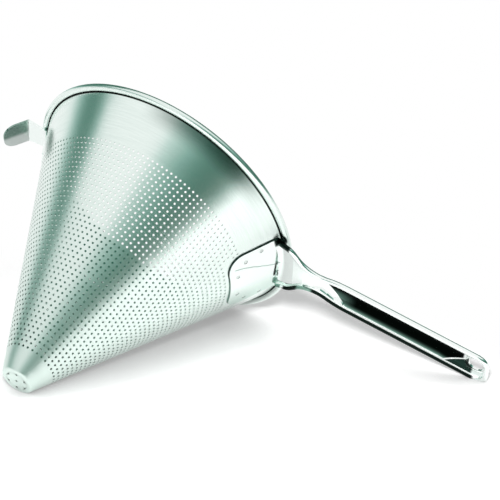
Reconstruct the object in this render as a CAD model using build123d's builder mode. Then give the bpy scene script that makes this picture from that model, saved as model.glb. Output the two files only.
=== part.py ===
"""Chinois strainer: a perforated steel cone with a rolled rim, a stamped handle and a support hook.

Millimetres. The origin is the centre of the mouth, level with the top of the rolled rim. +Z points
out of the mouth, so the tip of the cone hangs below, and +X runs along the handle.
"""
import os
from math import asin, atan2, ceil, cos, hypot, pi, radians, sin, tan

from build123d import *

os.makedirs("parts", exist_ok=True)

# Cone: one drawn sheet, rolled outwards round a wire at the rim
rim_diameter = 200.0
cone_depth = 180.0
tip_diameter = 22.4
tip_corner_radius = 2.0
cone_sheet = 0.8
wire_diameter = 3.2
wire_clearance = 0.04
roll_opening_angle = 62.0

# Perforation: rows of holes, of which the solid keeps every few, spread evenly. The holes are so
# small that each is an eight-sided prism, for few faces
hole_diameter = 1.6
hole_sides = 8
hole_pitch = 3.7
row_pitch = 3.45
first_row_height = 15.5
plain_band = 33.0
rows_per_modelled_row = 5
holes_per_modelled_hole = 5
tip_ring_radius = 7.1
tip_ring_holes = 6

# Handle: one stamping, with a saddle on the cone, a neck, a rolled edge and a hollow grip
handle_sheet = 1.2
rim_gap = 1.2
saddle_width = 52.4
saddle_depth = 43.3
saddle_corner_radius = 12.5
neck_root_width = 47.0
neck_middle_width = 30.0
neck_middle_reach = 10.0
waist_width = 21.4
waist_reach = 25.0
grip_width = 27.4
grip_start_reach = 47.0
handle_reach = 153.5
handle_corner_radius = 9.0
roll_diameter = 3.7
bend_radius = 4.0
crown_rise = 4.7
crown_start_reach = 4.0
crown_back_inset = 19.0
crown_point_share = 0.08
hollow_rise = 5.8
hollow_front_reach = 25.5
hollow_taper_length = 18.0
pad_rise = 1.4
pad_start_inset = 17.0
pad_end_inset = 4.7
pad_blend_length = 1.1
hanging_hole_diameter = 11.0
hanging_hole_inset = 10.3

# Support hook: a bent strip on the side away from the handle
hook_sheet = 1.2
hook_root_width = 18.0
hook_width = 22.0
hook_reach = 9.5
hook_drop_length = 19.0
hook_drop_angle = 58.0
hook_bend_radius = 2.0
hook_end_radius = 9.0
hook_tab_depth = 24.0
hook_tab_corner_radius = 5.0

# Spot welds, as angles round the cone from the handle or the hook and depths below the rim
weld_diameter = 3.0
weld_recess = 0.2
handle_weld_places = ((6.9, 37.2), (13.8, 30.6), (15.0, 19.1))
hook_weld_places = ((4.0, 18.5),)

# Every cut runs past the wall by this much
overrun = 1.0

rim_radius = rim_diameter / 2
tip_radius = tip_diameter / 2
wire_radius = wire_diameter / 2
roll_bore_radius = wire_radius + wire_clearance
bead_radius = roll_bore_radius + cone_sheet
wire_centre = (rim_radius - bead_radius, -bead_radius)

# The wall runs straight from the tip's edge to the roll and touches its bore from inside
to_wire = (wire_centre[0] - tip_radius, wire_centre[1] + cone_depth)
half_angle = atan2(to_wire[0], to_wire[1]) - asin(roll_bore_radius / hypot(*to_wire))
outward = (cos(half_angle), -sin(half_angle))
wall_slope = tan(half_angle)


def outer_radius(depth):
    """Outside radius of the plain cone at a depth below the rim's top."""
    return tip_radius + (cone_depth - depth) * wall_slope


def on_wall(angle, depth, stand_off=0.0):
    """Plane on the outside of the cone, facing outwards, at an angle from +X and a depth."""
    a = radians(angle)
    r = outer_radius(depth) + stand_off * outward[0]
    z = -depth + stand_off * outward[1]
    facing = (outward[0] * cos(a), outward[0] * sin(a), outward[1])
    return Plane(origin=(r * cos(a), r * sin(a), z), x_dir=(-sin(a), cos(a), 0), z_dir=facing)


def welds_on(places, start_angle, stand_off=0.0):
    """Places of the spot welds to both sides of a piece that is fixed at start_angle."""
    sides = [(side * angle, depth) for angle, depth in places for side in (-1, 1)]
    return [on_wall(start_angle + angle, depth, stand_off).location for angle, depth in sides]


def cone_core(top_depth, bottom_depth):
    """Solid that fills the cone out to its outside surface, between two depths."""
    with BuildPart() as core:
        with BuildSketch(Plane.XZ):
            with BuildLine():
                Polyline((0, -top_depth), (outer_radius(top_depth), -top_depth),
                         (outer_radius(bottom_depth), -bottom_depth), (0, -bottom_depth), close=True)
            make_face()
        revolve(axis=Axis.Z)
    return core.part


def saddle_blank(sheet, plate_depth, bottom_depth, bend):
    """Solid round the cone, one sheet proud of it, that flares into a plate with a bend."""
    grown = sheet / cos(half_angle)
    corner = outer_radius(plate_depth + sheet) + grown
    flare = corner + bend + sheet
    with BuildPart() as blank:
        with BuildSketch(Plane.XZ) as section:
            with BuildLine():
                Polyline((0, -plate_depth), (flare, -plate_depth), (flare, -plate_depth - sheet),
                         (corner, -plate_depth - sheet), (outer_radius(bottom_depth) + grown, -bottom_depth),
                         (0, -bottom_depth), close=True)
            make_face()
            bend_corner = section.vertices().group_by(Axis.Y)[1].sort_by(Axis.X)[0]
            fillet(bend_corner, radius=bend)
        revolve(axis=Axis.Z)
    return blank.part


handle_weld_planes = welds_on(handle_weld_places, 0, handle_sheet + overrun)
hook_weld_planes = welds_on(hook_weld_places, 180, hook_sheet + overrun)
handle_weld_depth = handle_sheet + cone_sheet + 2 * overrun
hook_weld_depth = hook_sheet + cone_sheet + 2 * overrun

# Hole places: each row has as many holes as fit round it at the pitch
slant = 1 / cos(half_angle)
perforated_height = cone_depth - plain_band - first_row_height
row_count = int(perforated_height * slant / row_pitch) + 1
hole_planes = []
for row in range(0, row_count, rows_per_modelled_row):
    depth = cone_depth - first_row_height - row * row_pitch / slant
    full_count = round(2 * pi * outer_radius(depth) / hole_pitch)
    modelled_count = ceil(full_count / holes_per_modelled_hole)
    for hole in range(modelled_count):
        angle = 360 * hole / modelled_count + 180 * (row // rows_per_modelled_row % 2) / modelled_count
        beside_axis = abs(outer_radius(depth) * sin(radians(angle))) - hole_diameter
        under_saddle = cos(radians(angle)) > 0 and beside_axis < saddle_width / 2
        if not (under_saddle and depth - hole_diameter < saddle_depth):
            hole_planes.append(on_wall(angle, depth, overrun).location)

with BuildPart() as hole_punch:
    with BuildSketch():
        RegularPolygon(hole_diameter / 2, hole_sides)
    extrude(amount=-cone_sheet - 2 * overrun)

# Strainer cone
roll_start = (wire_centre[0] - roll_bore_radius * outward[0], wire_centre[1] - roll_bore_radius * outward[1])
roll_start_inside = (roll_start[0] - cone_sheet * outward[0], roll_start[1] - cone_sheet * outward[1])
inner_tip_radius = tip_radius + cone_sheet * (wall_slope - slant)
opening_reach = 2 * bead_radius
opening_near = (wire_centre[0] - opening_reach * outward[0], wire_centre[1] - opening_reach * outward[1])
opening_turn = pi - half_angle + radians(roll_opening_angle)
opening_far = (wire_centre[0] + opening_reach * cos(opening_turn),
               wire_centre[1] + opening_reach * sin(opening_turn))
with BuildPart() as strainer_cone:
    with BuildSketch(Plane.XZ) as cone_section:
        with Locations(wire_centre):
            Circle(bead_radius)
            Circle(roll_bore_radius, mode=Mode.SUBTRACT)
        with BuildLine():
            Polyline(wire_centre, opening_near, opening_far, close=True)
        make_face(mode=Mode.SUBTRACT)
        with BuildLine():
            Polyline((0, -cone_depth), (tip_radius, -cone_depth), roll_start, roll_start_inside,
                     (inner_tip_radius, cone_sheet - cone_depth), (0, cone_sheet - cone_depth), close=True)
        make_face()
        tip_edge = cone_section.vertices().sort_by(Axis.Y)[0:2].sort_by(Axis.X)[-1:]
        fillet(tip_edge, radius=tip_corner_radius)
    revolve(axis=Axis.Z)
    with Locations(*hole_planes):
        add(hole_punch.part, mode=Mode.SUBTRACT)
    with Locations(Plane.XY.offset(cone_sheet + overrun - cone_depth)):
        add(hole_punch.part, mode=Mode.SUBTRACT)
        with PolarLocations(tip_ring_radius, tip_ring_holes):
            add(hole_punch.part, mode=Mode.SUBTRACT)
    with Locations(*handle_weld_planes):
        Hole(weld_diameter / 2, depth=handle_weld_depth)
    with Locations(*hook_weld_planes):
        Hole(weld_diameter / 2, depth=hook_weld_depth)
strainer_cone.part.label = "strainer_cone"
export_step(strainer_cone.part, "parts/strainer_cone.step")

# Wire inside the rolled rim
with BuildPart() as rim_wire:
    with BuildSketch(Plane.XZ):
        with Locations(wire_centre):
            Circle(wire_radius)
    revolve(axis=Axis.Z)
rim_wire.part.label = "rim_wire"
export_step(rim_wire.part, "parts/rim_wire.step")

# Handle: levels and the path of its rolled edge
roll_radius = roll_diameter / 2
plate_top = -2 * bead_radius - rim_gap
roll_level = plate_top - roll_radius
plate_bottom = plate_top - handle_sheet
grip_side = grip_width / 2 - roll_radius
handle_end = rim_radius + handle_reach
path_end = handle_end - roll_radius
turn_radius = handle_corner_radius - roll_radius
root_x = outer_radius(-plate_top) - handle_sheet
side_points = (
    (root_x, saddle_width / 2 - roll_radius),
    (rim_radius, neck_root_width / 2 - roll_radius),
    (rim_radius + neck_middle_reach, neck_middle_width / 2 - roll_radius),
    (rim_radius + waist_reach, waist_width / 2 - roll_radius),
    (rim_radius + grip_start_reach, grip_side),
)
roll_plane = Plane.XY.offset(roll_level)
hanging_hole_x = handle_end - hanging_hole_inset


def draw_rolled_edge():
    """Draws the rolled edge's centre line, from one root round the handle's end to the other."""
    side = Spline(*side_points, tangents=((1, -1), (1, 0)))
    long_side = Line(side @ 1, (path_end - turn_radius, grip_side))
    turn = RadiusArc(long_side @ 1, (path_end, grip_side - turn_radius), turn_radius)
    Line(turn @ 1, (path_end, 0))
    mirror(about=Plane.XZ)


with BuildLine() as roll_path:
    draw_rolled_edge()
roll_wire = roll_path.wires()[0].moved(roll_plane.location)


def strap_side(x):
    """Half the clear width between the rolled edges, at a place along the handle."""
    across = Axis((x, 0, 0), (0, 1, 0))
    crossings = [point.Y for edge in roll_path.edges() for point in edge.find_intersection_points(across)]
    return max(crossings) - roll_radius


def arch(side, rise):
    """Draws an arch over the bottom of the plate."""
    ThreePointArc((-side, plate_bottom), (0, plate_bottom + rise), (side, plate_bottom))
    Line((side, plate_bottom), (-side, plate_bottom))


def flat_rise(side, rise):
    """Draws a flat top over the bottom of the plate, with sides at 45 degrees."""
    Polyline((-side, plate_bottom), (rise - side, plate_bottom + rise), (side - rise, plate_bottom + rise),
             (side, plate_bottom), close=True)


def loft_along(draw, stations, wider, higher, mode):
    """Lofts a form between stations (x, side, rise), made wider to each side and higher."""
    sections = []
    for x, side, rise in stations:
        with BuildSketch(Plane.YZ.offset(x)) as section:
            with BuildLine():
                draw(side + wider, rise + higher)
            make_face()
        sections.append(section.sketch)
    for front, back in zip(sections[:-1], sections[1:]):
        loft([front, back], ruled=True, mode=mode)


# The strap is arched between its rolled edges, from near the rim to the hanging hole. The hollow under
# the grip is a higher arch, and where the two meet they form a crease that comes to a point
crown_start = rim_radius + crown_start_reach
crown_full = rim_radius + waist_reach
grip_start = rim_radius + grip_start_reach
crown_back = handle_end - crown_back_inset
crown_end = hanging_hole_x - hanging_hole_diameter / 2
crown_places = [crown_start + (crown_full - crown_start) * share for share in (0, 1 / 3, 2 / 3, 1)]
crown_places += [crown_full + (grip_start - crown_full) * share for share in (1 / 4, 1 / 2, 3 / 4, 1)]
crown_stations = []
for x in crown_places + [crown_back]:
    share = max(crown_point_share, min(1, (x - crown_start) / (crown_full - crown_start)))
    crown_stations.append((x, strap_side(x), crown_rise * share))
crown_stations.append((crown_end, strap_side(crown_end), pad_rise))

hollow_front = rim_radius + hollow_front_reach
hollow_stations = []
for x in (hollow_front, hollow_front + hollow_taper_length / 2, hollow_front + hollow_taper_length,
          crown_back - hollow_taper_length, crown_back):
    to_point = min(x - hollow_front, crown_back - x, hollow_taper_length) / hollow_taper_length
    share = (crown_rise + (hollow_rise - crown_rise) * to_point) / hollow_rise
    hollow_stations.append((x, strap_side(x) * share, hollow_rise * share))

# A flat pad is pressed up round the hanging hole
pad_places = (handle_end - pad_start_inset, handle_end - pad_end_inset)
pad_stations = [(x, strap_side(x), pad_rise) for x in pad_places]
pad_end = pad_places[1] + pad_blend_length
pad_stations.append((pad_end, strap_side(pad_end), pad_rise - pad_blend_length))

with BuildPart() as handle:
    add(saddle_blank(handle_sheet, -plate_top, saddle_depth, bend_radius))
    with BuildSketch(Plane.YZ):
        with Locations((0, plate_top)):
            Rectangle(saddle_width, 2 * (saddle_depth + plate_top))
        fillet(vertices().group_by(Axis.Y)[0], radius=saddle_corner_radius)
    extrude(amount=rim_diameter, mode=Mode.INTERSECT)
    with BuildSketch(Plane.XY.offset(plate_bottom)):
        with BuildLine():
            draw_rolled_edge()
            Line(side_points[0], (side_points[0][0], -side_points[0][1]))
        make_face()
    extrude(amount=handle_sheet)
    with BuildSketch(Plane(origin=roll_wire @ 0, z_dir=roll_wire % 0)):
        Circle(roll_radius)
    sweep(path=roll_wire)
    for wider, higher, mode in ((roll_radius, handle_sheet, Mode.ADD), (0, 0, Mode.SUBTRACT)):
        loft_along(arch, crown_stations, wider, higher, mode)
        loft_along(arch, hollow_stations, wider, higher, mode)
        loft_along(flat_rise, pad_stations, wider, higher, mode)
    with Locations((hanging_hole_x, 0, plate_top + pad_rise + overrun)):
        Hole(hanging_hole_diameter / 2, depth=handle_sheet + 2 * overrun)
    add(cone_core(0, saddle_depth + overrun), mode=Mode.SUBTRACT)
    with Locations(*handle_weld_planes):
        Hole(weld_diameter / 2, depth=handle_weld_depth)
handle.part.label = "handle"
export_step(handle.part, "parts/handle.step")

# Support hook: a tab on the cone, a short arm past the rim and a drop with a rounded end
arm_top = -2 * bead_radius
arm_level = arm_top - hook_sheet / 2
drop_angle = radians(hook_drop_angle)
arm_end = rim_radius + hook_reach
drop_end = (arm_end + hook_drop_length * cos(drop_angle), arm_level - hook_drop_length * sin(drop_angle))
hook_root_x = outer_radius(-arm_top) - hook_sheet
with BuildPart() as hook_strip:
    with BuildSketch(Plane.XZ):
        with BuildLine():
            FilletPolyline((-hook_root_x, arm_level), (-arm_end, arm_level),
                           (-drop_end[0], drop_end[1]), radius=hook_bend_radius)
        trace(line_width=hook_sheet)
    extrude(amount=hook_width / 2, both=True)
    end_edges = hook_strip.edges().filter_by(lambda edge: abs(edge.length - hook_sheet) < cone_sheet / 2)
    fillet(end_edges.group_by(Axis.X)[0], radius=hook_end_radius)
    with BuildSketch(Plane.XY.offset(drop_end[1] - overrun)):
        with BuildLine():
            Polyline((-hook_root_x, 0), (-hook_root_x, hook_root_width / 2), (-arm_end, hook_width / 2),
                     (-drop_end[0] - hook_sheet, hook_width / 2), (-drop_end[0] - hook_sheet, 0))
            mirror(about=Plane.XZ)
        make_face()
    extrude(amount=-drop_end[1] + overrun, mode=Mode.INTERSECT)

with BuildPart() as support_hook:
    add(saddle_blank(hook_sheet, -arm_top, hook_tab_depth, hook_bend_radius))
    with BuildSketch(Plane.YZ):
        with Locations((0, arm_top)):
            Rectangle(hook_root_width, 2 * (hook_tab_depth + arm_top))
        fillet(vertices().group_by(Axis.Y)[0], radius=hook_tab_corner_radius)
    extrude(amount=-rim_diameter, mode=Mode.INTERSECT)
    add(hook_strip.part)
    add(cone_core(0, hook_tab_depth + overrun), mode=Mode.SUBTRACT)
    with Locations(*hook_weld_planes):
        Hole(weld_diameter / 2, depth=hook_weld_depth)
support_hook.part.label = "support_hook"
export_step(support_hook.part, "parts/support_hook.step")

# Spot welds: one nugget through both sheets at each place, a little below the outer sheet
with BuildPart() as handle_spot_welds:
    with Locations(*welds_on(handle_weld_places, 0, handle_sheet - weld_recess)):
        Cylinder(weld_diameter / 2, handle_sheet - weld_recess + cone_sheet,
                 align=(Align.CENTER, Align.CENTER, Align.MAX))
handle_spot_welds.part.label = "handle_spot_welds"
export_step(handle_spot_welds.part, "parts/handle_spot_welds.step")

with BuildPart() as hook_spot_welds:
    with Locations(*welds_on(hook_weld_places, 180, hook_sheet - weld_recess)):
        Cylinder(weld_diameter / 2, hook_sheet - weld_recess + cone_sheet,
                 align=(Align.CENTER, Align.CENTER, Align.MAX))
hook_spot_welds.part.label = "hook_spot_welds"
export_step(hook_spot_welds.part, "parts/hook_spot_welds.step")
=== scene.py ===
"""A chinois strainer lying on a white table: the looks of the part, in metres, in the part's frame."""
from math import asin, atan2, cos, hypot, pi, radians, sin, tan

import bpy
import numpy as np
from mathutils import Matrix, Vector


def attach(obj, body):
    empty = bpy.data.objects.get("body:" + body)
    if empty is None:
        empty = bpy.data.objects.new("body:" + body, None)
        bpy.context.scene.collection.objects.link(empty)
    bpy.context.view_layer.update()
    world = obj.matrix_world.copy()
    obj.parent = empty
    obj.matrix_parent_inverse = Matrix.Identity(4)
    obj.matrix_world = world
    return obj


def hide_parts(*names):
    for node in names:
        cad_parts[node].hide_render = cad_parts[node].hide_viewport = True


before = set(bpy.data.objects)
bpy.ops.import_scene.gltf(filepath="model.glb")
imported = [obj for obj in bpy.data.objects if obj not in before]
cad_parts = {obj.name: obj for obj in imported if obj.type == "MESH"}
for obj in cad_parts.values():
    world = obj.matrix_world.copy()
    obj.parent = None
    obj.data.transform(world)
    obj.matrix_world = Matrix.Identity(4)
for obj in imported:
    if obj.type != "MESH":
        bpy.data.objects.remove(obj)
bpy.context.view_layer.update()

# Camera
# A long lens that looks down at the table and past the underside of the cone, so that the tip points to
# the front left and the handle to the right.
table_up = Vector((-0.31393, -0.83637, 0.44936)).normalized()
eye = Vector((0.61994, -1.56753, -0.99768))
aim = Vector((0.06404, 0.02018, 0.00416))
lens_mm = 208.05
film_mm = 36
away = (aim - eye).normalized()
right = away.cross(table_up).normalized()
camera_data = bpy.data.cameras.new("camera")
camera_data.lens = lens_mm
camera_data.sensor_width = film_mm
camera = bpy.data.objects.new("camera", camera_data)
camera_turn = Matrix((right, right.cross(away), -away)).transposed()
camera.matrix_world = Matrix.Translation(eye) @ camera_turn.to_4x4()
bpy.context.scene.collection.objects.link(camera)
bpy.context.scene.camera = camera
bpy.context.scene.view_settings.view_transform = "Standard"


# Studio
# What the steel mirrors: a dim green room with a wide white light overhead, which reaches lower on the
# left, a white card there, and the white table. A small lamp in front casts the shadow.
class Signal:
    """One output of a shader node. The operators add the Math nodes that work the sum out."""

    def __init__(self, nodes, socket):
        self.nodes = nodes
        self.socket = socket

    def math(self, operation, *values):
        return self.nodes.add("Math", {"operation": operation}, dict(enumerate(values)))

    def __add__(self, other):
        return self.math("ADD", self, other)

    def __sub__(self, other):
        return self.math("SUBTRACT", self, other)

    def __rsub__(self, other):
        return self.math("SUBTRACT", other, self)

    def __mul__(self, other):
        return self.math("MULTIPLY", self, other)

    def __truediv__(self, other):
        return self.math("DIVIDE", self, other)

    def __pow__(self, other):
        return self.math("POWER", self, other)

    def __neg__(self):
        return self * -1.0

    def __abs__(self):
        return self.math("ABSOLUTE", self)

    __radd__ = __add__
    __rmul__ = __mul__

    def least(self, other):
        return self.math("MINIMUM", self, other)

    def rise(self, low, high, kind="SMOOTHSTEP"):
        """0 up to low and 1 from high on, or the reverse where low is the larger."""
        return self.nodes.add("MapRange", {"interpolation_type": kind},
                              {"Value": self, "From Min": low, "From Max": high})

    def within(self, start, full, fade, end):
        """0 up to start, 1 from full to fade, and 0 again from end on."""
        return self.rise(start, full) * self.rise(end, fade)


class Shading:
    """The nodes of one material, or of the world."""

    def __init__(self, owner):
        owner.use_nodes = True
        self.tree = owner.node_tree
        self.tree.nodes.clear()

    def add(self, kind, settings={}, inputs={}, output=0):
        """Adds one node: its kind, its settings, then values or links for its inputs."""
        node = self.tree.nodes.new("ShaderNode" + kind)
        for name, value in settings.items():
            setattr(node, name, value)
        for name, value in inputs.items():
            if isinstance(value, Signal):
                self.tree.links.new(value.socket, node.inputs[name])
            else:
                node.inputs[name].default_value = value
        return Signal(self, node.outputs[output]) if node.outputs else None

    def mix(self, share, first, second):
        """The first colour where share is 0, the second where it is 1."""
        return self.add("Mix", {"data_type": "RGBA"}, {0: share, 6: first, 7: second}, output=2)

    def along(self, vector, direction):
        """How far a vector points in a direction."""
        dot = {"operation": "DOT_PRODUCT"}
        return self.add("VectorMath", dot, {0: vector, 1: direction}, output="Value")

    def axes(self, kind):
        """The three parts of a texture coordinate, such as Object or Normal."""
        vector = self.add("TexCoord", output=kind)
        return [self.along(vector, axis) for axis in ((1, 0, 0), (0, 1, 0), (0, 0, 1))]

    def noise(self, scale, detail):
        """Noise in the piece's own coordinates, with its scale in waves per metre."""
        place = self.add("TexCoord", output="Object")
        return self.add("TexNoise", inputs={"Vector": place, "Scale": scale, "Detail": detail})


room_green = (0.055, 0.150, 0.112, 1)
soft_green = (0.23, 0.57, 0.48, 1)
light_white = (1.0, 1.0, 1.0, 1)
plain_light = (0.30, 0.30, 0.30, 1)
toward = right.cross(table_up)

world = bpy.data.worlds.new("studio")
bpy.context.scene.world = world
room = Shading(world)
direction = room.add("TexCoord", output="Generated")
height = room.along(direction, table_up)
sideways = room.along(direction, right)
nearness = room.along(direction, toward)

# The lights, each as the share of white in the room's directions. A gap is left in them high at the rear.
left_side = sideways.rise(-0.2, -0.8)
rear_side = nearness.rise(0.0, -0.3)
overhead = height.rise(0.20, 0.76, "LINEAR") ** 2.6
left_overhead = left_side * height.rise(0.42, 0.62)
left_card = sideways.within(-0.72, -0.62, -0.38, -0.25) * nearness.rise(0.2, 0.4)
rear_gap = rear_side * height.rise(0.90, 0.82)
lights = (overhead + left_overhead + left_card) * (1.0 - rear_gap)
table_light = height.rise(0.08, -0.06) + left_side * height.rise(0.36, 0.09)
lit_share = (lights + table_light + left_side * 0.06).least(1.0)

# Steel mirrors the room, from its green over a softer one to white. All else is lit by a plain grey, and
# the camera sees white.
darker_half = room.mix(lit_share, room_green, soft_green)
lighter_half = room.mix(lit_share, soft_green, light_white)
mirrored = room.mix(lit_share, darker_half, lighter_half)
by_camera = room.add("LightPath", output="Is Camera Ray")
by_steel = room.add("LightPath", output="Is Glossy Ray")
colour = room.mix(by_camera, room.mix(by_steel, plain_light, mirrored), light_white)
sky = room.add("Background", inputs={"Color": colour, "Strength": 1.0})
room.add("OutputWorld", inputs={"Surface": sky})

lamp_size = 0.26
lamp_power = 40.0
lamp_distance = 1.9
lamp_height = radians(28)
lamp_data = bpy.data.lights.new("front_lamp", "AREA")
lamp_data.shape = "DISK"
lamp_data.size = lamp_size
lamp_data.energy = lamp_power
lamp = bpy.data.objects.new("front_lamp", lamp_data)
lamp_place = (toward * cos(lamp_height) + table_up * sin(lamp_height)) * lamp_distance
lamp_turn = (-lamp_place).to_track_quat("-Z", "Y").to_matrix()
lamp.matrix_world = Matrix.Translation(lamp_place) @ lamp_turn.to_4x4()
lamp.visible_glossy = False
bpy.context.scene.collection.objects.link(lamp)

# Table
# A white painted top that the strainer lies on. Close to what lies on it a painted shadow greys it, it is
# plain white behind the strainer, and it shows from above only.
table_level = -0.09067
table_reach = 4.0
corners = [table_up * table_level + (right * i + toward * j) * table_reach
           for i, j in ((-1, 1), (1, 1), (1, -1), (-1, -1))]
table_mesh = bpy.data.meshes.new("table")
table_mesh.from_pydata(corners, [], [(0, 1, 2, 3)])
table = bpy.data.objects.new("table", table_mesh)
bpy.context.scene.collection.objects.link(table)

paint_white = (0.90, 0.90, 0.90, 1)
paint_glow = 0.28
painted_shadow_grey = (0.36, 0.36, 0.36, 1)
contact_reach = 0.045
open_from = 0.75
rear_left = (-0.135, -0.170)
rear = (-0.075, -0.125)
white_paint = bpy.data.materials.new("white_table")
paint = Shading(white_paint)
lit = paint.add("BsdfDiffuse", inputs={"Color": paint_white})
glow = paint.add("Emission", inputs={"Color": light_white, "Strength": paint_glow})
bright = paint.add("AddShader", inputs={0: lit, 1: glow})
# Painted shadow: a grey glow takes over where what lies on the table closes it in
openness = paint.add("AmbientOcclusion", {"samples": 16}, {"Distance": contact_reach}, output="AO")
painted_shadow = paint.add("Emission", inputs={"Color": painted_shadow_grey})
shaded = paint.add("MixShader", inputs={0: openness.rise(0.0, open_from, "LINEAR"), 1: painted_shadow, 2: bright})
spot = paint.add("TexCoord", output="Object")
forward = paint.along(spot, toward)
rightward = paint.along(spot, right)
behind = (forward - rightward).rise(*rear_left) + forward.rise(*rear)
plain_white = paint.add("Emission", inputs={"Color": light_white})
shown = paint.add("MixShader", inputs={0: behind.least(1.0), 1: shaded, 2: plain_white})
by_camera = paint.add("LightPath", output="Is Camera Ray")
by_steel = paint.add("LightPath", output="Is Glossy Ray")
top = paint.add("MixShader", inputs={0: by_camera + by_steel, 1: lit, 2: shown})
below = paint.add("NewGeometry", output="Backfacing")
clear = paint.add("BsdfTransparent")
one_sided = paint.add("MixShader", inputs={0: below, 1: top, 2: clear})
paint.add("OutputMaterial", inputs={"Surface": one_sided})
table_mesh.materials.append(white_paint)


# Cone
# One drawn sheet of satin steel, brushed in rings: a flat tip with seven holes, rows of fine punched
# holes, a plain band, and a rim that is rolled outwards round a wire.
mouth_radius = 0.100
cone_depth = 0.180
tip_radius = 0.0112
tip_corner = 0.002
sheet_thickness = 0.0008
roll_bore = 0.00164
roll_opening = radians(62)

roll_outer = roll_bore + sheet_thickness
wire_r = mouth_radius - roll_outer
wire_z = -roll_outer
to_wire = (wire_r - tip_radius, wire_z + cone_depth)
lean = atan2(*to_wire) - asin(roll_bore / hypot(*to_wire))
corner_turn = pi / 2 - lean
corner_cut = tip_corner * tan(corner_turn / 2)
flat_radius = tip_radius - corner_cut
wall_start = flat_radius + tip_corner * corner_turn
wall_end = wall_start - corner_cut + (to_wire[1] - roll_bore * sin(lean)) / cos(lean)


def on_sheet(angle, run, sunk=0.0):
    """Points on the cone's sheet. run is the way from the tip's centre: straight across the flat, round
    the corner, then straight up the wall. The point is sunk along the normal by the thickness asked."""
    turned = np.clip((run - flat_radius) / tip_corner, 0, corner_turn)
    up = np.maximum(run - wall_start, 0)
    r = np.minimum(run, flat_radius) + tip_corner * np.sin(turned) + up * sin(lean) - sunk * np.sin(turned)
    z = tip_corner * (1 - np.cos(turned)) + up * cos(lean) + sunk * np.cos(turned) - cone_depth
    return np.stack([r * np.cos(angle), r * np.sin(angle), z + 0 * r], axis=-1)


def run_at(depth):
    """The way up the sheet to a depth below the rim's top: what is left to the tip, along the lean."""
    return wall_start - corner_cut + (cone_depth - depth) / cos(lean)


hole_radius = 0.0008
half_side = pi / 8
tip_hole_ring = 0.0071
tip_cell_edge = 0.0094
foot_top = 0.020
first_row_depth = 0.1645
row_count = 43
row_pitch = 0.00345
row_half = 0.00125
hole_pitch = 0.0037
line_up_angle = radians(-60)
saddle_half = 0.0262
saddle_bottom = 0.0433
band_depth = 0.0315
round_count = 240


class Sheet:
    """The points of the sheet, by angle and run, and the faces between them. One more copy of all of
    them, sunk by the thickness, makes the inside."""

    def __init__(self):
        self.angles, self.runs, self.count = [], [], 0
        self.triangles, self.quads, self.covers, self.holes = [], [], [], []

    def points(self, angle, run):
        """Adds points and returns their numbers."""
        angle, run = np.broadcast_arrays(angle, run)
        self.angles.append(angle.ravel())
        self.runs.append(run.ravel())
        self.count += angle.size
        return np.arange(self.count - angle.size, self.count).reshape(angle.shape)

    def ring(self, count, run, start=0.0):
        """A ring of points round the sheet. Returns the numbers and the angles, in rising order."""
        angle = np.sort((start + np.arange(count) * 2 * pi / count) % (2 * pi))
        return self.points(angle, run), angle

    def join(self, low, high):
        """Triangles between two rings of different counts. A walk round both at once takes, at each
        step, the point that comes next by angle, and closes one triangle."""
        (low_points, low_angle), (high_points, high_angle) = low, high
        a, b = len(low_points), len(high_points)
        next_low = np.append(low_angle[1:], low_angle[:1] + 2 * pi)
        next_high = np.append(high_angle[1:], high_angle[:1] + 2 * pi)
        on_low = np.argsort(np.concatenate([next_low, next_high]), kind="stable") < a
        i = np.cumsum(on_low) - on_low
        j = np.cumsum(~on_low) - ~on_low
        third = np.where(on_low, low_points[(i + 1) % a], high_points[(j + 1) % b])
        self.triangles.append(np.stack([low_points[i % a], third, high_points[j % b]], axis=-1))

    def bands(self, rings):
        """Quads between rings that have the same count."""
        for (lower, _), (upper, _) in zip(rings[:-1], rings[1:]):
            self.quads.append(np.stack([lower, np.roll(lower, -1), np.roll(upper, -1), upper], axis=-1))

    def row(self, count, run, start):
        """A row of square cells round the sheet, each with an eight-sided hole in its middle. Cells whose
        hole lies under the handle's saddle stay whole. Returns the row's lower and upper ring."""
        width = 2 * pi / count
        corner_angle = start % width + np.arange(count) * width
        middle = corner_angle + width / 2
        low = self.points(corner_angle, run - row_half)
        high = self.points(corner_angle, run + row_half)
        r, _, z = on_sheet(0.0, np.array(run))
        spoke = half_side * (2 * np.arange(8) - 1)
        across, up = hole_radius * np.cos(spoke) / r, hole_radius * np.sin(spoke)
        edge = self.points(middle[:, None] + across, run + up)
        h = edge.T
        bl, br, tl, tr = low, np.roll(low, -1), high, np.roll(high, -1)
        cell_quads = ((br, tr, h[1], h[0]), (tr, tl, h[3], h[2]), (tl, bl, h[5], h[4]), (bl, br, h[7], h[6]))
        cell_corners = ((tr, h[2], h[1]), (tl, h[4], h[3]), (bl, h[6], h[5]), (br, h[0], h[7]))
        self.quads.append(np.concatenate([np.stack(face, axis=-1) for face in cell_quads]))
        self.triangles.append(np.concatenate([np.stack(face, axis=-1) for face in cell_corners]))
        beside = np.abs(r * np.sin(middle)) < saddle_half + hole_radius
        covered = (-z < saddle_bottom + hole_radius) & (np.cos(middle) > 0) & beside
        self.covers.append(edge[covered])
        self.holes.append(edge[~covered])
        return (low, corner_angle), (high, corner_angle)


# The tip's middle hole, its ring of six, the corner, and the foot of the wall
wall = Sheet()
centre_ring = wall.ring(8, hole_radius, half_side)
wall.holes.append(centre_ring[0][None, ::-1])
tip_low, tip_high = wall.row(6, tip_hole_ring, 0.0)
wall.join(centre_ring, tip_low)
corner_runs = flat_radius + tip_corner * corner_turn * np.linspace(0, 1, 6)
foot = [wall.ring(64, run) for run in (tip_cell_edge, *corner_runs, foot_top)]
wall.join(tip_high, foot[0])
wall.bands(foot)

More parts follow.
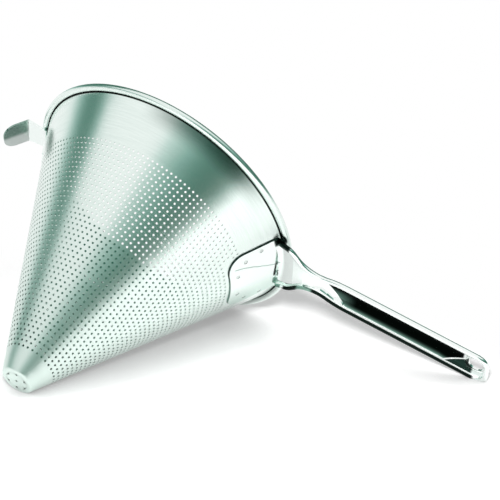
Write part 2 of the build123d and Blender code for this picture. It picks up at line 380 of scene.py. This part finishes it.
# The punched rows, each with as many holes as fit round it at the pitch. They line up at one angle
below_row = foot[-1]
for row in range(row_count):
    run = run_at(first_row_depth) + row * row_pitch
    radius = on_sheet(0.0, np.array(run))[0]
    count = round(2 * pi * radius / hole_pitch)
    row_low, row_high = wall.row(count, run, line_up_angle - pi / count)
    wall.join(below_row, row_low)
    below_row = row_high

# The plain band, up to where the roll begins
band = [wall.ring(round_count, run) for run in np.linspace(run_at(band_depth), wall_end, 6)]
wall.join(below_row, band[0])
wall.bands(band)

angle = np.concatenate(wall.angles)
run = np.concatenate(wall.runs)
outside = on_sheet(angle, run)
inside = on_sheet(angle, run, sheet_thickness)

# The roll: its bore, the sheet's edge, then its outside back to the wall's inner face
roll_start = pi - lean
roll_end = roll_opening - pi - lean
bore_turn = np.linspace(roll_start, roll_end, 15)[1:]
back_turn = np.linspace(roll_end, roll_start, 27)[:-1]
section_r = wire_r + np.concatenate([roll_bore * np.cos(bore_turn), roll_outer * np.cos(back_turn)])
section_z = wire_z + np.concatenate([roll_bore * np.sin(bore_turn), roll_outer * np.sin(back_turn)])
top_points, around = band[-1]
roll = np.stack([section_r[:, None] * np.cos(around), section_r[:, None] * np.sin(around),
                 section_z[:, None] + 0 * around], axis=-1)
roll_points = 2 * wall.count + np.arange(roll[..., 0].size).reshape(roll.shape[:2])
roll_points = np.concatenate([top_points[None], roll_points, top_points[None] + wall.count])
low, high = roll_points[:-1], roll_points[1:]
roll_quads = np.stack([low, np.roll(low, -1, axis=1), np.roll(high, -1, axis=1), high], axis=-1)

# The inside has the outside's faces turned round, and each hole's edge joins the two
skin = [np.concatenate(group) for group in (wall.triangles, wall.quads, wall.covers)]
holes = np.concatenate(wall.holes)
next_point = np.roll(holes, -1, axis=1)
hole_quads = np.stack([holes, next_point, next_point + wall.count, holes + wall.count], axis=-1)
faces = [*skin, *(group[:, ::-1] + wall.count for group in skin),
         hole_quads.reshape(-1, 4), roll_quads.reshape(-1, 4)]
points = np.concatenate([outside, inside, roll.reshape(-1, 3)])
sharp_from = radians(35)
cone_mesh = bpy.data.meshes.new("perforated_cone")
cone_mesh.from_pydata(points.tolist(), [], [face for group in faces for face in group.tolist()])
cone_mesh.polygons.foreach_set("use_smooth", np.ones(len(cone_mesh.polygons), dtype=bool))
cone_mesh.set_sharp_from_angle(angle=sharp_from)
cone = bpy.data.objects.new("perforated_cone", cone_mesh)
bpy.context.scene.collection.objects.link(cone)
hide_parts("strainer_cone")
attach(cone, "root")


noise_range = (0.3, 0.75)
grain_depth = 0.00003
slow_waves = 38.0


def steel(shading, base, roughness, grain, metal=1.0, wave=0.00004):
    """Steel from a base colour, a roughness and a fine grain. The grain moves the surface a little, and
    slow waves of the depth asked bend what the steel mirrors."""
    slow = shading.noise(slow_waves, 2.0)
    grained = shading.add("Bump", inputs={"Height": grain, "Strength": 0.10, "Distance": grain_depth})
    surface = shading.add("Bump", inputs={"Height": slow, "Strength": 1.0, "Distance": wave,
                                          "Normal": grained})
    finish = shading.add("BsdfPrincipled", inputs={"Base Color": base, "Metallic": metal,
                                                   "Roughness": roughness, "Normal": surface})
    shading.add("OutputMaterial", inputs={"Surface": finish})


# Satin steel. Noise that is drawn out round the cone gives the brushed rings
satin_light = (0.85, 0.935, 0.895, 1)
satin_dark = (0.79, 0.88, 0.84, 1)
waves_round = 3.0
waves_up = 1100.0
satin_roughness = 0.24
brush_roughness = 0.08
satin = bpy.data.materials.new("satin_steel")
shading = Shading(satin)
x, y, z = shading.axes("Object")
nx, ny, _ = shading.axes("Normal")
radius = (x * x + y * y) ** 0.5
rings = shading.add("CombineXYZ", inputs={0: x / radius * waves_round, 1: y / radius * waves_round,
                                          2: z * waves_up})
brushing = shading.add("TexNoise", inputs={"Vector": rings, "Scale": 1.0, "Detail": 4.0, "Roughness": 0.6})
tone = shading.mix(brushing.rise(*noise_range), satin_light, satin_dark)

# It is greyer and rougher toward the tip
tip_grey = (0.74, 0.85, 0.80, 1)
tip_roughness = 0.16
toward_tip = z.rise(-0.02, -cone_depth, "LINEAR") ** 1.3
tone = shading.mix(toward_tip, tone, tip_grey)
roughness = satin_roughness + toward_tip * tip_roughness + (brushing - 0.5) * brush_roughness

# The roll shades the wall below it at the front
shade_green = (0.060, 0.120, 0.095, 1)
shade_share = 0.75
shade_height = (-0.018, -0.005)
front_part = (0.82, 0.99)
front_x, front_y = 0.407, -0.914
from_wall = (radius - wire_r) * cos(lean) - (z - wire_z) * sin(lean) + roll_bore
front = (x * front_x + y * front_y) / radius
on_wall = abs(from_wall).rise(0.0006, 0.0003)
under_roll = z.rise(*shade_height) * front.rise(*front_part) * on_wall * shade_share
tone = shading.mix(under_roll, tone, shade_green)

# Deep inside it is dark, apart from a strip that the mouth's light reaches
deep_green = (0.12, 0.20, 0.17, 1)
deep_height = (-0.115, -0.135)
across_x, across_y = -0.944, -0.330
across = (x * across_x + y * across_y) / radius
lit_strip = across.within(-0.30, -0.10, 0.25, 0.45)
faces_in = (x * nx + y * ny).rise(0.0, -0.01)
deep_inside = faces_in * z.rise(*deep_height) * (1.0 - lit_strip)
tone = shading.mix(deep_inside, tone, deep_green)

# Painted shade: the slot between the rolled rim and the wall is painted black
slot_shade_black = (0.004, 0.008, 0.006, 1)
slot_run = (-0.001, 0.0, 0.0031, 0.0035)
down_wall = (radius - wire_r) * -sin(lean) - (z - wire_z) * cos(lean)
in_slot = abs(from_wall).rise(0.0004, 0.0002) * down_wall.within(*slot_run)
tone = shading.mix(in_slot, tone, slot_shade_black)
steel(shading, tone, roughness, brushing, wave=0.00010)
cone_mesh.materials.append(satin)


# Rim wire
# A ring of drawn wire that makes the mouth stiff. The rolled rim closes round it, and it shows only
# through the slot under the roll.
def give(node, material):
    """Puts a material on a CAD node."""
    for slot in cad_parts[node].material_slots:
        slot.material = material


wire_light = (0.30, 0.34, 0.32, 1)
wire_dark = (0.22, 0.26, 0.24, 1)
wire_roughness = 0.3
drawn = bpy.data.materials.new("drawn_wire")
shading = Shading(drawn)
lines = shading.noise(700.0, 2.0)
steel(shading, shading.mix(lines, wire_light, wire_dark), wire_roughness + lines * 0.1, lines)
give("rim_wire", drawn)

# Handle
# One stamping of polished steel, welded to the cone by its saddle. Its edge is rolled all round, the
# strap between is arched, and the grip is a deeper hollow, which comes to a point at both ends.
polish_light = (0.92, 0.965, 0.945, 1)
polish_dark = (0.89, 0.94, 0.92, 1)
polished = bpy.data.materials.new("polished_steel")
shading = Shading(polished)
x, y, z = shading.axes("Object")
nx, ny, nz = shading.axes("Normal")
side = abs(y)
lower_side = y.rise(0.0, 0.001)
grain = shading.noise(900.0, 3.0)
base = shading.mix(grain.rise(*noise_range), polish_light, polish_dark)

# Painted shade makes the hollow black in its depth, where it mirrors only itself, and a painted reflection
# makes it greener toward the lips
hollow_shade_black = (0.001, 0.002, 0.0015, 1)
lip_reflection_green = (0.30, 0.55, 0.45, 1)
hollow_half = 0.0100
hollow_front = 0.1255
front_taper = 0.0190
hollow_back = 0.2424
back_slope = 0.447
pad_front = 0.2335
edge_level = -0.0079
front_reach = (x - hollow_front) * (hollow_half / front_taper)
back_reach = (hollow_back - x) * back_slope
reach = front_reach.least(back_reach).least(hollow_half)
under_grip = (-nz).rise(0.02, 0.10) * z.rise(edge_level, edge_level + 0.0005)
in_hollow = (reach - side).rise(0.0, 0.0004) * under_grip * x.rise(pad_front, pad_front - 0.0015)
to_lip = side.rise(0.0070, hollow_half, "LINEAR") ** 4.5
to_front = x.rise(0.152, 0.130) * side.rise(0.002, 0.007) * 0.4
hollow_shade_tone = shading.mix((to_lip + to_front).least(1.0), hollow_shade_black, lip_reflection_green)
base = shading.mix(in_hollow, base, hollow_shade_tone)

# Behind the hollow's crease, on the side that lies lower, the steel mirrors its own shadow
crease_black = (0.014, 0.034, 0.027, 1)
crease_run = (0.2165, 0.2190, 0.2400, 0.2420)
behind_crease = (side - back_reach).rise(0.0004, 0.0008) * x.within(*crease_run)
base = shading.mix(behind_crease * under_grip * lower_side, base, crease_black)

# So does the rolled edge below, with a paler part at the neck. Painted shade darkens the root of the other
# edge, where it meets the rim
edge_black = (0.006, 0.013, 0.010, 1)
edge_pale = (0.24, 0.38, 0.32, 1)
root_shade_black = (0.008, 0.016, 0.013, 1)
roll_run = (0.0970, 0.0990, 0.2420, 0.2450)
pale_run = (0.1070, 0.1100, 0.1180, 0.1210)
on_roll = z.rise(edge_level + 0.0001, edge_level - 0.0002) * x.within(*roll_run)
low_edge = (-nz).rise(0.08, 0.45) * lower_side * on_roll
edge_tone = shading.mix(x.within(*pale_run), edge_black, edge_pale)
base = shading.mix(low_edge, base, edge_tone)
root = x.rise(0.1020, 0.1003) * y.rise(-0.0195, -0.0215) * z.rise(-0.0110, -0.0095)
base = shading.mix(root, base, root_shade_black)

# The inner side of the rolled edge catches the light in one bright line
lip_front = (0.115, 0.121)
inward = ny * y.math("SIGN", y) * -1.0
on_lip = z.rise(edge_level + 0.0011, edge_level + 0.0007) * x.rise(*lip_front)
lip_line = inward.rise(0.75, 0.90) * on_lip * (1.0 - low_edge)

# A painted reflection makes the saddle greener toward its lower side, and painted shade draws a faint fold
# across it
saddle_reflection_green = (0.50, 0.70, 0.61, 1)
fold_shade_green = (0.30, 0.42, 0.37, 1)
fold_y = -0.0171
fold_z = -0.0382
fold_slope = 0.46
fold_top = -0.0380
saddle_front = 0.0965
saddle_top = -0.0078
tint_side = (-0.004, 0.026)
on_saddle = x.rise(saddle_front, saddle_front - 0.0010) * z.rise(saddle_top, saddle_top - 0.0012)
base = shading.mix(on_saddle * y.rise(*tint_side) * 0.75, base, saddle_reflection_green)
waver = (shading.noise(90.0, 1.0) - 0.5) * 0.004
from_fold = abs(y - fold_y - (z - fold_z) * fold_slope + waver)
fold_shade_line = from_fold.rise(0.0009, 0.0002) * z.rise(fold_top - 0.0020, fold_top)
base = shading.mix(fold_shade_line * on_saddle * 0.8, base, fold_shade_green)

# Painted shade darkens the saddle's cut edge, less so low down
cut_shade_dark = (0.015, 0.035, 0.028, 1)
cut_shade_pale = (0.20, 0.32, 0.27, 1)
polish_roughness = 0.07
grain_roughness = 0.05
facing_out = (x * nx + y * ny) / (x * x + y * y) ** 0.5 * cos(lean) - nz * sin(lean)
cut_edge = abs(facing_out).rise(0.75, 0.50) * on_saddle
cut_shade_tone = shading.mix(y.rise(-0.013, -0.004), cut_shade_dark, cut_shade_pale)
base = shading.mix(cut_edge, base, cut_shade_tone)
roughness = polish_roughness + (grain - 0.5) * grain_roughness
steel(shading, base, roughness, grain, metal=1.0 - lip_line * 0.8)
give("handle", polished)

# Support hook
# A strip of polished steel, welded by its tab to the side of the cone across from the handle. It is bent
# down at its end, so that it rests on a pot's edge.
hook_light = (0.90, 0.955, 0.93, 1)
hook_dark = (0.86, 0.92, 0.90, 1)
shade_dark = (0.20, 0.32, 0.27, 1)
shade_light = (0.30, 0.42, 0.37, 1)
hook_roughness = 0.09
hook_bend = -0.1085
strip = bpy.data.materials.new("hook_steel")
shading = Shading(strip)
x, y, _ = shading.axes("Object")
grain = shading.noise(900.0, 3.0)
base = shading.mix(grain.rise(*noise_range), hook_light, hook_dark)
shaded_half = x.rise(hook_bend, hook_bend - 0.0020) * y.rise(0.0030, -0.0015)
shade_tone = shading.mix(grain.rise(0.45, 0.6), shade_dark, shade_light)
base = shading.mix(shaded_half, base, shade_tone)
steel(shading, base, hook_roughness + (grain - 0.5) * grain_roughness, grain)
give("support_hook", strip)

# Spot welds
# Nuggets of the two sheets' own steel, pressed and melted together. They hold the saddle and the hook's
# tab to the cone, and are duller than the sheets, in patches.
weld_light = (0.80, 0.86, 0.83, 1)
weld_dark = (0.60, 0.66, 0.63, 1)
weld_roughness = 0.25
nugget = bpy.data.materials.new("weld_steel")
shading = Shading(nugget)
patches = shading.noise(1500.0, 3.0)
base = shading.mix(patches.rise(0.4, 0.6), weld_light, weld_dark)
steel(shading, base, weld_roughness + patches * 0.15, patches)
give("handle_spot_welds", nugget)
give("hook_spot_welds", nugget)
